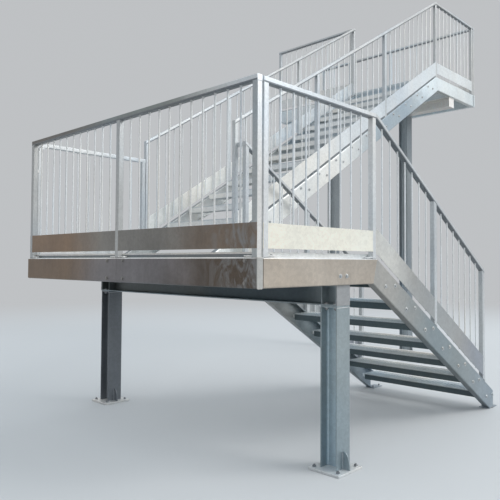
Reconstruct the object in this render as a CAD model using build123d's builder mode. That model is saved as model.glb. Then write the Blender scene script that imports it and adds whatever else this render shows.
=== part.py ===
"""Galvanised steel fire escape stair with two straight flights and two landings.

Millimetres, +Z up, +X along the flights towards the upper landing, +Y towards the building.
The stair is drawn from the lower landing's near corner at ground level and written about the
middle of its footprint.
"""

import os
from math import atan, cos, hypot, radians, sin, tan

from build123d import *

os.makedirs("parts", exist_ok=True)

# Steps and levels
rise = 173.4
going = 280.0
lower_rises = 8
upper_rises = 14
tread_depth = 262.0
tread_height = 40.0
tread_above_stringer = 162.0
tread_side_gap = 19.0

# Plan
flight_width = 1348.0
well_gap = 68.0
lower_landing_length = 1198.0
upper_start = 1121.5
upper_landing_length = 1187.5
upper_landing_reach = 1456.0

# Pressed channels of the stringers and landing edges
channel_depth = 172.0
flange_width = 55.0
plate_thickness = 8.0
joist_depth = 120.0
joist_width = 50.0
joist_thickness = 6.0
foot_setback = 48.0
corner_plate_thickness = 6.0
corner_plate_drop = 12.0
foot_plate_length = 160.0
foot_plate_width = 100.0
foot_plate_thickness = 8.0
splice_offset = 18.0
splice_bolt_reach = 100.0
corner_bolt_inset = 90.0
bolt_head_size = 25.0
bolt_head_height = 10.0
upper_bolt_inset = 20.0
lower_bolt_inset = 28.0

# Decks
deck_thickness = 30.0
panel_gap = 5.0
deck_gap = 1.0
deck_edge_bar = 8.0
bearing_bar = 8.0
bearing_pitch = 100.0
cross_bar = 8.0
cross_pitch = 330.0

# Railings
rail_rise = 1003.0
rail_size = 36.0
post_size = 40.0
baluster_size = 12.0
baluster_pitch = 110.0
kick_thickness = 4.0
kick_gap = 48.0
kick_height = 142.0
kick_gap_on_slope = 33.0
kick_height_on_slope = 170.0
corner_post_gap = 53.0
newel_gap = 20.0
lower_post_pitch = 900.0
lower_end_post_setback = 212.0
upper_post_spans = (4.0, 8.45)
wall_bay = 570.0
rail_bend_radius = 57.0
rail_bend_facets = 8

# Wide flange beams and columns
beam_depth = 133.0
beam_width = 140.0
beam_web = 5.5
beam_flange = 8.5
cap_plate = 12.0
base_plate_size = 250.0
base_plate_thickness = 15.0
anchor_offset = 95.0
anchor_hole = 18.0
gusset_height = 110.0
gusset_reach = 50.0
gusset_thickness = 10.0
gusset_lip = 10.0
gusset_facets = 6
stiffener_thickness = 8.0
lower_beam_setback = 379.0
near_beam_inset = 22.0
far_beam_outset = 82.0
near_column_inset = 90.0
far_column_outset = 2.0
upper_beam_setback = 498.5
upper_beam_inset = 24.0
upper_column_inset = 746.0

# Tread cleats
cleat_width = 150.0
cleat_thickness = 7.0
cleat_height = 22.0
cleat_reach = 120.0

# Lengths that follow from the ones above
slope = rise / going
pitch_angle = atan(slope)
lower_deck_top = lower_rises * rise
upper_deck_top = (lower_rises + upper_rises) * rise
lower_channel_top = lower_deck_top - deck_thickness
upper_channel_top = upper_deck_top - deck_thickness
lower_channel_bottom = lower_channel_top - channel_depth
upper_channel_bottom = upper_channel_top - channel_depth
near_plane = 0.0
inner_plane = flight_width
upper_near_plane = flight_width + well_gap
far_plane = upper_near_plane + flight_width
wall_plane = far_plane + upper_landing_reach
upper_edge = upper_start + (upper_rises - 1) * going
end_plane = upper_edge + upper_landing_length
tread_length = flight_width - 2 * (flange_width + tread_side_gap)
lower_beam_x = lower_landing_length - lower_beam_setback
lower_beam_start = near_plane + near_beam_inset
lower_beam_end = far_plane + far_beam_outset
lower_near_column_y = near_plane + near_column_inset
lower_far_column_y = far_plane + far_column_outset
upper_beam_x = upper_edge + upper_beam_setback
mitre_shift = channel_depth * tan(pitch_angle / 2)
lower_first_tread = lower_landing_length + going - tread_depth / 2
upper_first_tread = upper_start + tread_depth / 2

# Bottom edge of each sloping stringer, as its height at the first tread
lower_line_z = lower_deck_top - rise - tread_above_stringer
upper_line_z = lower_deck_top + rise - tread_above_stringer
lower_kink = lower_first_tread - (lower_channel_bottom - lower_line_z) / slope
upper_low_kink = upper_first_tread - (upper_line_z - lower_channel_bottom) / slope
upper_high_kink = upper_low_kink + (upper_channel_bottom - lower_channel_bottom) / slope
lower_foot = lower_landing_length + (lower_rises - 1) * going - foot_setback

footprint_near = min(near_plane - corner_plate_thickness, lower_near_column_y - base_plate_size / 2)
footprint_start = -bolt_head_height
middle_x = (footprint_start + end_plane) / 2
middle_y = (footprint_near + wall_plane) / 2
to_middle = Location((-middle_x, -middle_y, 0))


def save(piece, label):
    """Labels a finished piece, moves it to the middle of the footprint and writes its file."""
    placed = to_middle * piece.part
    placed.label = label
    export_step(placed, f"parts/{label}.step")


def side_plane(y):
    """Upright plane facing -Y at depth y, on which sketches are drawn as X and Z."""
    return Plane.XZ.offset(-y)


def offset_run(points, distance):
    """The polyline moved sideways by a distance, mitred at its kinks."""
    moved = []
    for i, (x, z) in enumerate(points):
        before = points[max(i - 1, 0)]
        here = points[max(i, 1)] if i == 0 else (x, z)
        after = points[min(i + 1, len(points) - 1)]
        ax, az = here[0] - before[0], here[1] - before[1]
        bx, bz = after[0] - x, after[1] - z
        if i == 0:
            ax, az = bx, bz
        if i == len(points) - 1:
            bx, bz = ax, az
        la, lb = hypot(ax, az), hypot(bx, bz)
        nx, nz = -az / la - bz / lb, ax / la + bx / lb
        ln = hypot(nx, nz)
        nx, nz = nx / ln, nz / ln
        half = (-az / la) * nx + (ax / la) * nz
        moved.append((x + nx * distance / half, z + nz * distance / half))
    return moved


def lower_bottom(start, inset=0.0):
    """Bottom edge of a lower stringer from the landing to the ground."""
    ground_x = lower_kink + lower_channel_bottom / slope
    run = [(start, lower_channel_bottom), (lower_kink, lower_channel_bottom), (ground_x, 0.0)]
    return offset_run(run, inset)


def upper_bottom(start, end, inset=0.0):
    """Bottom edge of an upper stringer from the lower landing to the upper one."""
    run = [
        (start, lower_channel_bottom),
        (upper_low_kink, lower_channel_bottom),
        (upper_high_kink, upper_channel_bottom),
        (end, upper_channel_bottom),
    ]
    return offset_run(run, inset)


def lower_outline(start, inset):
    """Closed outline of a lower stringer, drawn in by the same amount along both edges."""
    bottom = lower_bottom(start, inset)
    top = lower_bottom(start, channel_depth - inset)
    (x1, z1), (x2, z2) = bottom[1], bottom[2]
    ground = x1 + z1 * (x2 - x1) / (z1 - z2)
    (x3, z3), (x4, z4) = top[1], top[2]
    end_z = z3 - (lower_foot - x3) * (z3 - z4) / (x4 - x3)
    outline = [bottom[0], bottom[1], (ground, 0.0), (lower_foot, 0.0), (lower_foot, end_z)]
    return outline + [top[1], top[0]]


def upper_outline(start, end, inset):
    """Closed outline of an upper stringer, drawn in by the same amount along both edges."""
    bottom = upper_bottom(start, end, inset)
    top = upper_bottom(start, end, channel_depth - inset)
    return bottom + top[::-1]


def channel_from(outer, inner, y, facing):
    """A channel with its web face at depth y and its flanges pointing the facing way in Y."""
    with BuildPart() as channel:
        with BuildSketch(side_plane(y)):
            Polygon(*outer, align=None)
        extrude(amount=-facing * plate_thickness)
        with BuildSketch(side_plane(y + facing * plate_thickness)):
            Polygon(*outer, align=None)
            Polygon(*inner, align=None, mode=Mode.SUBTRACT)
        extrude(amount=-facing * (flange_width - plate_thickness))
    return channel


lower_treads_x = [lower_first_tread + i * going for i in range(lower_rises - 1)]
lower_treads_z = [lower_deck_top - (i + 1) * rise for i in range(lower_rises - 1)]
upper_treads_x = [upper_first_tread + i * going for i in range(upper_rises - 1)]
upper_treads_z = [lower_deck_top + (i + 1) * rise for i in range(upper_rises - 1)]


def on_foot(stringer, y, facing):
    """Adds the plate on the floor under a lower stringer."""
    with stringer:
        with Locations((lower_foot, y, 0)):
            Box(
                foot_plate_length,
                foot_plate_width,
                foot_plate_thickness,
                align=(Align.CENTER, Align.MIN if facing > 0 else Align.MAX, Align.MIN),
            )
    return stringer


def make_stringers():
    """The four stringers, each running on level as an edge channel of the landings."""
    start = flange_width
    end = end_plane - flange_width
    lower_outer = lower_outline(start, 0.0)
    lower_inner = lower_outline(start, plate_thickness)
    upper_outer = upper_outline(start, end, 0.0)
    upper_inner = upper_outline(start, end, plate_thickness)
    outer = channel_from(lower_outer, lower_inner, near_plane, 1)
    save(on_foot(outer, near_plane, 1), "lower_outer_stringer")
    inner = channel_from(lower_outer, lower_inner, inner_plane, -1)
    save(on_foot(inner, inner_plane, -1), "lower_inner_stringer")
    save(channel_from(upper_outer, upper_inner, upper_near_plane, 1), "upper_near_stringer")
    save(channel_from(upper_outer, upper_inner, far_plane, -1), "upper_far_stringer")


def channel_section(depth, width, thickness, facing):
    """Sketches a channel section standing at the origin with its web on the far side of facing."""
    Rectangle(width, depth, align=(Align.MIN if facing > 0 else Align.MAX, Align.MIN))
    shift = facing * thickness
    with Locations((shift, thickness)):
        Rectangle(
            width,
            depth - 2 * thickness,
            align=(Align.MIN if facing > 0 else Align.MAX, Align.MIN),
            mode=Mode.SUBTRACT,
        )


def cross_channel(x, y0, y1, z0, depth, width, thickness, facing):
    """A channel running along Y with its web face at x."""
    with BuildPart() as channel:
        with BuildSketch(side_plane(y0)):
            with Locations((x, z0)):
                channel_section(depth, width, thickness, facing)
        extrude(amount=-(y1 - y0))
    return channel


def make_landing_frames():
    """Edge channels across the stringers, and the joists that carry the deck edges."""
    with BuildPart() as side:
        with BuildSketch(side_plane(near_plane)):
            with Locations((0, lower_channel_bottom)):
                channel_section(channel_depth, flange_width, plate_thickness, 1)
        extrude(amount=-(far_plane - near_plane))
        with Locations((0, near_plane, lower_channel_bottom - corner_plate_drop)):
            Box(
                flange_width,
                corner_plate_thickness,
                channel_depth + corner_plate_drop,
                align=(Align.MIN, Align.MAX, Align.MIN),
            )
        splice = (near_plane + far_plane) / 2 + splice_offset
        along = [corner_bolt_inset, splice - splice_bolt_reach, splice + splice_bolt_reach]
        heights = [lower_channel_bottom + lower_bolt_inset, lower_channel_top - upper_bolt_inset]
        with BuildSketch(Plane.YZ):
            with Locations(*[(y, z) for y in along for z in heights]):
                RegularPolygon(bolt_head_size / 2, 6)
        extrude(amount=-bolt_head_height)
    save(side, "lower_landing_side_channel")

    end = cross_channel(
        end_plane,
        upper_near_plane,
        wall_plane,
        upper_channel_bottom,
        channel_depth,
        flange_width,
        plate_thickness,
        -1,
    )
    save(end, "upper_landing_end_channel")

    left = cross_channel(
        upper_edge,
        far_plane,
        wall_plane,
        upper_channel_bottom,
        channel_depth,
        flange_width,
        plate_thickness,
        1,
    )
    save(left, "upper_landing_side_channel")

    with BuildPart() as wall:
        x0 = upper_edge + flange_width
        x1 = end_plane - flange_width
        with BuildSketch(Plane.YZ.offset(x0)):
            with Locations((wall_plane, upper_channel_bottom)):
                channel_section(channel_depth, flange_width, plate_thickness, -1)
        extrude(amount=x1 - x0)
    save(wall, "upper_landing_wall_channel")

    inside = plate_thickness
    low_z = lower_channel_top - plate_thickness - joist_depth
    high_z = upper_channel_top - plate_thickness - joist_depth
    with BuildPart() as joists:
        with BuildSketch(side_plane(near_plane + inside)):
            with Locations((lower_kink - mitre_shift - joist_width, low_z)):
                channel_section(joist_depth, joist_width, joist_thickness, 1)
        extrude(amount=-(flight_width - 2 * inside))
    save(joists, "lower_landing_joist")

    with BuildPart() as high_joists:
        with BuildSketch(side_plane(upper_near_plane + inside)):
            with Locations((upper_high_kink + joist_width, high_z)):
                channel_section(joist_depth, joist_width, joist_thickness, 1)
        extrude(amount=-(flight_width - 2 * inside))
        middle = (upper_edge + end_plane) / 2
        with BuildSketch(side_plane(far_plane)):
            with Locations((middle, high_z)):
                channel_section(joist_depth, joist_width, joist_thickness, 1)
        extrude(amount=-(upper_landing_reach - inside))
    save(high_joists, "upper_landing_joists")


def openings(x0, x1, y0, y1):
    """Sketches the openings between the bars of one grating panel."""
    columns = max(1, round((x1 - x0) / bearing_pitch))
    rows = max(1, round((y1 - y0) / cross_pitch))
    wide = (x1 - x0 - 2 * deck_edge_bar + bearing_bar) / columns
    deep = (y1 - y0 - 2 * deck_edge_bar + cross_bar) / rows
    first_x = x0 + deck_edge_bar - bearing_bar / 2 + wide / 2
    first_y = y0 + deck_edge_bar - cross_bar / 2 + deep / 2
    spots = [(first_x + i * wide, first_y + j * deep) for i in range(columns) for j in range(rows)]
    with Locations(*spots):
        Rectangle(wide - bearing_bar, deep - cross_bar, mode=Mode.SUBTRACT)


def grating(panels, z, label):
    """Grating panels, each a group of touching rectangles given as x0, x1, y0, y1."""
    with BuildPart() as deck:
        with BuildSketch(Plane.XY.offset(z)):
            for x0, x1, y0, y1 in panels:
                with Locations((x0, y0)):
                    Rectangle(x1 - x0, y1 - y0, align=(Align.MIN, Align.MIN))
            for x0, x1, y0, y1 in panels:
                openings(x0, x1, y0, y1)
        extrude(amount=deck_thickness)
    save(deck, label)


def make_decks():
    """Grating panels of both landings, resting on the channels' top flanges."""
    edge = post_size + deck_gap
    well = (inner_plane + upper_near_plane) / 2
    half_gap = panel_gap / 2
    lower_turn = lower_kink - mitre_shift
    upper_turn = upper_low_kink - mitre_shift - panel_gap
    inset = flange_width + panel_gap
    grating(
        [
            (edge, lower_turn, near_plane + edge, well - half_gap),
            (lower_turn, lower_landing_length, near_plane + edge, inner_plane - edge),
            (edge, upper_turn, well + half_gap, far_plane - edge),
            (upper_turn, upper_start + panel_gap, upper_near_plane + inset, far_plane - inset),
        ],
        lower_channel_top,
        "lower_landing_deck",
    )
    seam = far_plane - edge - half_gap
    grating(
        [
            (upper_edge, end_plane - edge, upper_near_plane + edge, seam - half_gap),
            (upper_edge + edge, end_plane - edge, seam + half_gap, wall_plane),
        ],
        upper_channel_top,
        "upper_landing_deck",
    )


def make_treads(centres, heights, near_y, label):
    """One solid for each tread of a flight, between the flange tips of its stringers."""
    with BuildPart() as treads:
        margin = (flight_width - tread_length) / 2
        spots = [(x, near_y + margin, z) for x, z in zip(centres, heights)]
        with Locations(*spots):
            Box(
                tread_depth,
                tread_length,
                tread_height,
                align=(Align.CENTER, Align.MIN, Align.MAX),
            )
    save(treads, label)


def make_cleats(centres, heights, near_y, label):
    """Angle cleats on both stringers that carry the ends of each tread."""
    with BuildPart() as cleats:
        for web_face, facing in (
            (near_y + plate_thickness, 1),
            (near_y + flight_width - plate_thickness, -1),
        ):
            align_y = Align.MIN if facing > 0 else Align.MAX
            seats = [(x, web_face, z - tread_height) for x, z in zip(centres, heights)]
            with Locations(*seats):
                Box(
                    cleat_width,
                    cleat_reach,
                    cleat_thickness,
                    align=(Align.CENTER, align_y, Align.MAX),
                )
                Box(
                    cleat_width,
                    cleat_thickness,
                    cleat_height,
                    align=(Align.CENTER, align_y, Align.MIN),
                )
    save(cleats, label)


def wide_flange(turned=False):
    """Sketches the wide flange section about its own middle, flanges above and below."""
    wide, deep = (beam_depth, beam_width) if turned else (beam_width, beam_depth)
    Rectangle(wide, deep)
    for sign in (-1, 1):
        centre = sign * (beam_web / 2 + (beam_width - beam_web) / 4)
        with Locations((0, centre) if turned else (centre, 0)):
            pocket_w = (beam_width - beam_web) / 2
            pocket_h = beam_depth - 2 * beam_flange
            if turned:
                Rectangle(pocket_h, pocket_w, mode=Mode.SUBTRACT)
            else:
                Rectangle(pocket_w, pocket_h, mode=Mode.SUBTRACT)


def make_beam(x, y0, y1, top, columns_y, label):
    """A cross beam with web stiffeners over its columns and a plate on each end."""
    with BuildPart() as beam:
        middle = top - beam_depth / 2
        with BuildSketch(side_plane(y0)):
            with Locations((x, middle)):
                wide_flange()
        extrude(amount=-(y1 - y0))
        spots = [(x, y, middle) for y in columns_y]
        with Locations(*spots):
            Box(beam_width, stiffener_thickness, beam_depth)
        with Locations((x, y0 + stiffener_thickness / 2, middle)):
            Box(beam_width, stiffener_thickness, beam_depth)
        with Locations((x, y1 - stiffener_thickness / 2, middle)):
            Box(beam_width, stiffener_thickness, beam_depth)
    save(beam, label)


def make_column(x, y, top, label):
    """A column with flanges facing +Y and -Y, on a base plate with gussets, under a cap plate."""
    with BuildPart() as column:
        with BuildSketch(Plane.XY):
            with Locations((x, y)):
                Rectangle(base_plate_size, base_plate_size)
                with GridLocations(2 * anchor_offset, 2 * anchor_offset, 2, 2):
                    Circle(anchor_hole / 2, mode=Mode.SUBTRACT)
        extrude(amount=base_plate_thickness)
        with BuildSketch(Plane.XY.offset(base_plate_thickness)):
            with Locations((x, y)):
                wide_flange()
        extrude(amount=top - cap_plate - base_plate_thickness)
        with Locations((x, y, top - cap_plate)):
            Box(beam_width, beam_depth, cap_plate, align=(Align.CENTER, Align.CENTER, Align.MIN))
        for sign in (-1, 1):
            face = y + sign * beam_depth / 2
            rise_of_curve = gusset_height - gusset_lip
            reach_of_curve = gusset_reach - gusset_lip
            low = base_plate_thickness + gusset_lip
            outline = [(face, base_plate_thickness), (face + sign * gusset_reach, base_plate_thickness)]
            for step in range(gusset_facets + 1):
                turn = radians(90 * step / gusset_facets)
                out = gusset_lip + reach_of_curve * cos(turn)
                outline.append((face + sign * out, low + rise_of_curve * sin(turn)))
            outline.append((face, base_plate_thickness + gusset_height))
            with BuildSketch(Plane.YZ.offset(x - gusset_thickness / 2)):
                Polygon(*outline, align=None)
            extrude(amount=gusset_thickness)
    save(column, label)


def line_height(line, x):
    """Height of a polyline above x."""
    for (x1, z1), (x2, z2) in zip(line, line[1:]):
        if x1 <= x <= x2:
            return z1 + (x - x1) * (z2 - z1) / (x2 - x1)
    if x < line[0][0]:
        return line[0][1]
    return line[-1][1]


def strip(line, x0, x1, low, high):
    """Closed outline between two heights above a polyline, from x0 to x1."""
    inner = [x for x, z in line if x0 < x < x1]
    xs = [x0] + inner + [x1]
    bottom = [(x, line_height(line, x) + low) for x in xs]
    top = [(x, line_height(line, x) + high) for x in xs]
    return bottom + top[::-1]


def panel_sketch(line, posts, x0, x1):
    """Sketches the posts and the rail above a polyline of the channel's top edge."""
    outline = strip(line, x0, x1, rail_rise - rail_size, rail_rise)
    Polygon(*outline, align=None)
    for x in posts:
        Polygon(*strip(line, x, x + post_size, 0.0, rail_rise), align=None)


def balusters_between(posts, x0, x1):
    """Middle of each baluster in the bays between posts."""
    edges = [x0] + [v for x in posts for v in (x, x + post_size)] + [x1]
    spots = []
    for a, b in zip(edges[::2], edges[1::2]):
        bay = b - a
        if bay < baluster_pitch:
            continue
        count = max(1, round(bay / baluster_pitch) - 1)
        step = bay / (count + 1)
        spots += [a + step * (i + 1) for i in range(count)]
    return spots


def quarter_turn(x, z, radius):
    """Points of a quarter circle about x and z, from its left end up to its top."""
    turns = [radians(90 * step / rail_bend_facets) for step in range(rail_bend_facets + 1)]
    return [(x - radius * cos(turn), z + radius * sin(turn)) for turn in turns]


def make_wall_railing(line, posts, x1):
    """The level railing on the wall side, whose rail turns down into the first post in one bent tube.

    The last post stands where the stringer already rises.
    """
    level = lower_channel_top
    top = level + rail_rise
    kick_low = level + kick_gap
    kick_top = kick_low + kick_height
    x0 = posts[0]
    turn = line[1][0] + (kick_gap - kick_gap_on_slope) / slope
    kick_end = line[1][0] + (kick_top - kick_gap_on_slope - level) / slope
    outer_radius = rail_bend_radius + rail_size
    bend_z = top - outer_radius
    inside = quarter_turn(x0 + post_size + rail_bend_radius, bend_z, rail_bend_radius)
    bent_tube = [(x0, line_height(line, x0))]
    bent_tube += quarter_turn(x0 + outer_radius, bend_z, outer_radius)
    bent_tube += [(x1, top), (x1, top - rail_size)]
    bent_tube += inside[::-1]
    bent_tube += [(x0 + post_size, line_height(line, x0 + post_size))]
    with BuildPart() as panel:
        with BuildSketch(side_plane(far_plane)):
            Polygon(*bent_tube, align=None)
            for x in posts[1:]:
                right = x + post_size
                foot = [(x, line_height(line, x)), (right, line_height(line, right))]
                Polygon(*foot, (right, top), (x, top), align=None)
        extrude(amount=post_size)
        with BuildSketch(side_plane(far_plane)):
            Polygon((x0, kick_low), (turn, kick_low), (kick_end, kick_top), (x0, kick_top), align=None)
        extrude(amount=kick_thickness)
        spots = balusters_between(posts, x0, x1)
        half = baluster_size / 2
        with BuildSketch(side_plane(far_plane - post_size / 2 - half)):
            for x in spots:
                low = max(kick_low + kick_height / 2, line_height(line, x + half) + kick_gap)
                foot = [(x - half, low), (x + half, low)]
                Polygon(*foot, (x + half, top - 5), (x - half, top - 5), align=None)
        extrude(amount=-baluster_size)
        with BuildSketch(side_plane(far_plane - kick_thickness)):
            for x in spots:
                low = max(kick_low + kick_height / 2, line_height(line, x + half) + kick_gap)
                high = kick_top - 5
                foot = [(x - half, low), (x + half, low)]
                Polygon(*foot, (x + half, high), (x - half, high), align=None)
        extrude(amount=post_size / 2 - kick_thickness)
    save(panel, "lower_landing_wall_railing")


def railing_along_x(line, posts, x0, x1, y, facing, gap, height, label, bar_x=None):
    """A railing panel above a channel that runs along X, with its outer face at depth y."""
    with BuildPart() as panel:
        with BuildSketch(side_plane(y)):
            panel_sketch(line, posts, x0, x1)
        extrude(amount=-facing * post_size)
        with BuildSketch(side_plane(y)):
            Polygon(*strip(line, x0, x1, gap, gap + height), align=None)
        extrude(amount=-facing * kick_thickness)
        middle = y + facing * post_size / 2
        with BuildSketch(side_plane(middle - baluster_size / 2)):
            for x in balusters_between(posts, x0, x1):
                half = baluster_size / 2
                outline = strip(line, x - half, x + half, gap + height / 2, rail_rise - 5)
                Polygon(*outline, align=None)
        extrude(amount=-baluster_size)
        with BuildSketch(side_plane(y + facing * kick_thickness)):
            for x in balusters_between(posts, x0, x1):
                half = baluster_size / 2
                outline = strip(line, x - half, x + half, gap + height / 2, gap + height - 10)
                Polygon(*outline, align=None)
        extrude(amount=-facing * (post_size / 2 - kick_thickness))
        if bar_x is not None:
            top = line_height(line, bar_x) + rail_rise
            with Locations((bar_x, y, top)):
                Box(rail_size, well_gap, rail_size, align=(Align.MIN, Align.MIN, Align.MAX))
    save(panel, label)


def railing_along_y(x, facing, posts, y0, y1, top, label):
    """A level railing panel above a channel that runs along Y, with its outer face at x."""
    with BuildPart() as panel:
        plane = Plane.YZ.offset(x)
        line = [(y0, top), (y1, top)]
        with BuildSketch(plane):
            panel_sketch(line, posts, y0, y1)
        extrude(amount=facing * post_size)
        with BuildSketch(plane):
            Polygon(*strip(line, y0, y1, kick_gap, kick_gap + kick_height), align=None)
        extrude(amount=facing * kick_thickness)
        half = baluster_size / 2
        spots = balusters_between(posts, y0, y1)
        with BuildSketch(Plane.YZ.offset(x + facing * post_size / 2 - half)):
            for y in spots:
                outline = strip(line, y - half, y + half, kick_gap + kick_height / 2, rail_rise - 5)
                Polygon(*outline, align=None)
        extrude(amount=baluster_size)
        with BuildSketch(Plane.YZ.offset(x + facing * kick_thickness)):
            for y in spots:
                low = kick_gap + kick_height / 2
                outline = strip(line, y - half, y + half, low, kick_gap + kick_height - 10)
                Polygon(*outline, align=None)
        extrude(amount=facing * (post_size / 2 - kick_thickness))
    save(panel, label)


def make_railings():
    """All railing panels, each with its own posts, rail, balusters and kick plate."""
    low = [(0.0, lower_channel_top), (end_plane, lower_channel_top)]
    high = [(0.0, upper_channel_top), (end_plane, upper_channel_top)]
    lower_line = lower_bottom(flange_width, channel_depth)
    upper_line = upper_bottom(flange_width, end_plane - flange_width, channel_depth)

    junction = lower_kink - 7.0
    side_mid = (far_plane - near_plane) / 2 - post_size / 2
    side_end = far_plane - corner_post_gap - post_size / 2
    railing_along_y(
        0.0,
        1,
        [near_plane, side_mid, side_end],
        near_plane,
        side_end + post_size,
        lower_channel_top,
        "lower_landing_side_railing",
    )
    railing_along_x(
        low,
        [corner_post_gap, junction],
        corner_post_gap,
        junction + post_size,
        near_plane,
        1,
        kick_gap,
        kick_height,
        "lower_landing_near_railing",
    )
    upper_first_post = upper_start + post_size
    wall_end = upper_first_post - panel_gap
    make_wall_railing(upper_line, [corner_post_gap, wall_end - post_size], wall_end)
    last = lower_foot - lower_end_post_setback
    outer_posts = [last - lower_post_pitch, last]
    newel = junction + post_size + newel_gap
    railing_along_x(
        lower_line,
        outer_posts,
        junction + post_size,
        outer_posts[-1] + post_size,
        near_plane,
        1,
        kick_gap_on_slope,
        kick_height_on_slope,
        "lower_outer_railing",
    )
    railing_along_x(
        lower_line,
        [newel] + outer_posts,
        newel,
        outer_posts[-1] + post_size,
        inner_plane,
        -1,
        kick_gap_on_slope,
        kick_height_on_slope,
        "lower_inner_railing",
        bar_x=newel,
    )
    between = [upper_first_post + span * going for span in upper_post_spans]
    upper_posts = [upper_first_post] + between + [upper_edge]
    railing_along_x(
        upper_line,
        upper_posts,
        upper_posts[0],
        upper_posts[-1] + post_size,
        upper_near_plane,
        1,
        kick_gap_on_slope,
        kick_height_on_slope,
        "upper_near_railing",
    )
    railing_along_x(
        upper_line,
        upper_posts,
        upper_posts[0],
        upper_posts[-1] + post_size,
        far_plane,
        -1,
        kick_gap_on_slope,
        kick_height_on_slope,
        "upper_far_railing",
    )
    corner = end_plane - corner_post_gap - post_size
    railing_along_x(
        high,
        [corner],
        upper_edge + post_size,
        corner + post_size,
        upper_near_plane,
        1,
        kick_gap,
        kick_height,
        "upper_landing_near_railing",
    )
    wall_post = wall_plane - post_size
    middle = (upper_near_plane + wall_post) / 2
    railing_along_y(
        end_plane,
        -1,
        [upper_near_plane, middle, wall_post - wall_bay, wall_post],
        upper_near_plane,
        wall_plane,
        upper_channel_top,
        "upper_landing_end_railing",
    )
    railing_along_y(
        upper_edge,
        1,
        [far_plane, wall_post],
        far_plane,
        wall_plane,
        upper_channel_top,
        "upper_landing_side_railing",
    )


def make_supports():
    """Cross beams under the landings and the columns that carry them."""
    lower_columns = [lower_near_column_y, lower_far_column_y]
    make_beam(
        lower_beam_x,
        lower_beam_start,
        lower_beam_end,
        lower_channel_bottom,
        lower_columns,
        "lower_cross_beam",
    )
    under = lower_channel_bottom - beam_depth
    make_column(lower_beam_x, lower_near_column_y, under, "lower_near_column")
    make_column(lower_beam_x, lower_far_column_y, under, "lower_far_column")
    start = upper_near_plane + upper_beam_inset
    end = wall_plane - upper_beam_inset
    upper_columns = [upper_near_plane + upper_column_inset, wall_plane - upper_column_inset]
    make_beam(
        upper_beam_x,
        start,
        end,
        upper_channel_bottom,
        upper_columns,
        "upper_cross_beam",
    )
    under = upper_channel_bottom - beam_depth
    make_column(upper_beam_x, upper_columns[0], under, "upper_near_column")
    make_column(upper_beam_x, upper_columns[1], under, "upper_far_column")


make_stringers()
make_landing_frames()
make_decks()
make_treads(lower_treads_x, lower_treads_z, near_plane, "lower_flight_treads")
make_treads(upper_treads_x, upper_treads_z, upper_near_plane, "upper_flight_treads")
make_cleats(lower_treads_x, lower_treads_z, near_plane, "lower_tread_cleats")
make_cleats(upper_treads_x, upper_treads_z, upper_near_plane, "upper_tread_cleats")
make_supports()
make_railings()
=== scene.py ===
"""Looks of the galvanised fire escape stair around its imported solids.

Lengths in this script are millimetres from the lower landing's near corner at floor level, with X
along the flights, Y towards the building and Z up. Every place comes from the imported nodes' boxes.
"""

import math
import random

import bmesh
import bpy
from mathutils import Matrix, Vector


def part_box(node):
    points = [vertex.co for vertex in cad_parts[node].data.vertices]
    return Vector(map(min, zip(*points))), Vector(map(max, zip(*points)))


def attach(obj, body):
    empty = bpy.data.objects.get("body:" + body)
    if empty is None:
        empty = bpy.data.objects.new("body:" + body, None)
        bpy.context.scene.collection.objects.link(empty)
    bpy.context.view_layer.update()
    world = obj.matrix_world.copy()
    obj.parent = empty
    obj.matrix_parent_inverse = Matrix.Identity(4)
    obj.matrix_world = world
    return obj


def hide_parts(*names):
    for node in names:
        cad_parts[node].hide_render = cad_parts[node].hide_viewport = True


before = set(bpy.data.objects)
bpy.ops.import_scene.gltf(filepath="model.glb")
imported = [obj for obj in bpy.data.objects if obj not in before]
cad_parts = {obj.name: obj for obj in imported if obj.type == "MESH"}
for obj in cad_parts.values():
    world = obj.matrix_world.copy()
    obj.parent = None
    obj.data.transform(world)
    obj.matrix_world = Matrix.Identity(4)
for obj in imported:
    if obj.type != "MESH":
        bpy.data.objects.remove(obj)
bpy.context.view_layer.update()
rng = random.Random(41)

METRE = 1000.0
# The side channel's web face, which bolt heads stand out of, is where the railing above it begins.
ORIGIN = Vector((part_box("lower_landing_side_railing")[0].x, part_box("lower_outer_stringer")[0].y, 0.0))


def corners(node):
    """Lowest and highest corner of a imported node, in this script's millimetres."""
    low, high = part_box(node)
    return (low - ORIGIN) * METRE, (high - ORIGIN) * METRE


def extent(node, axis):
    """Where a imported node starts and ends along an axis."""
    low, high = corners(node)
    return (low.x, high.x) if axis == "x" else (low.y, high.y)


def middle(low, high):
    return (low + high) / 2


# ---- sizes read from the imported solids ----
WEB = 8.0    # sheet of the pressed channels
BEND = 10.5  # their outer bend radius
FLANGE = corners("upper_landing_side_channel")[1].x - corners("upper_landing_side_channel")[0].x
NEAR = 0.0
INNER = corners("lower_inner_stringer")[1].y
WELL = corners("upper_near_stringer")[0].y
SEAM = (INNER + WELL) / 2
FAR = corners("upper_far_stringer")[1].y
END, WALL = corners("upper_landing_end_channel")[1].xy
LOW_BOTTOM = corners("upper_far_stringer")[0].z
LOW_TOP, LOW_DECK = (corner.z for corner in corners("lower_landing_deck"))
HIGH_TOP, HIGH_DECK = (corner.z for corner in corners("upper_landing_deck"))
DEPTH = LOW_TOP - LOW_BOTTOM
HIGH_BOTTOM = HIGH_TOP - DEPTH
UPPER_EDGE = corners("upper_landing_deck")[0].x
FOOT_PLATE = Vector((160.0, corners("lower_outer_stringer")[1].y, 8.0))
FOOT = corners("lower_outer_stringer")[1].x - FOOT_PLATE.x / 2

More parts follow.
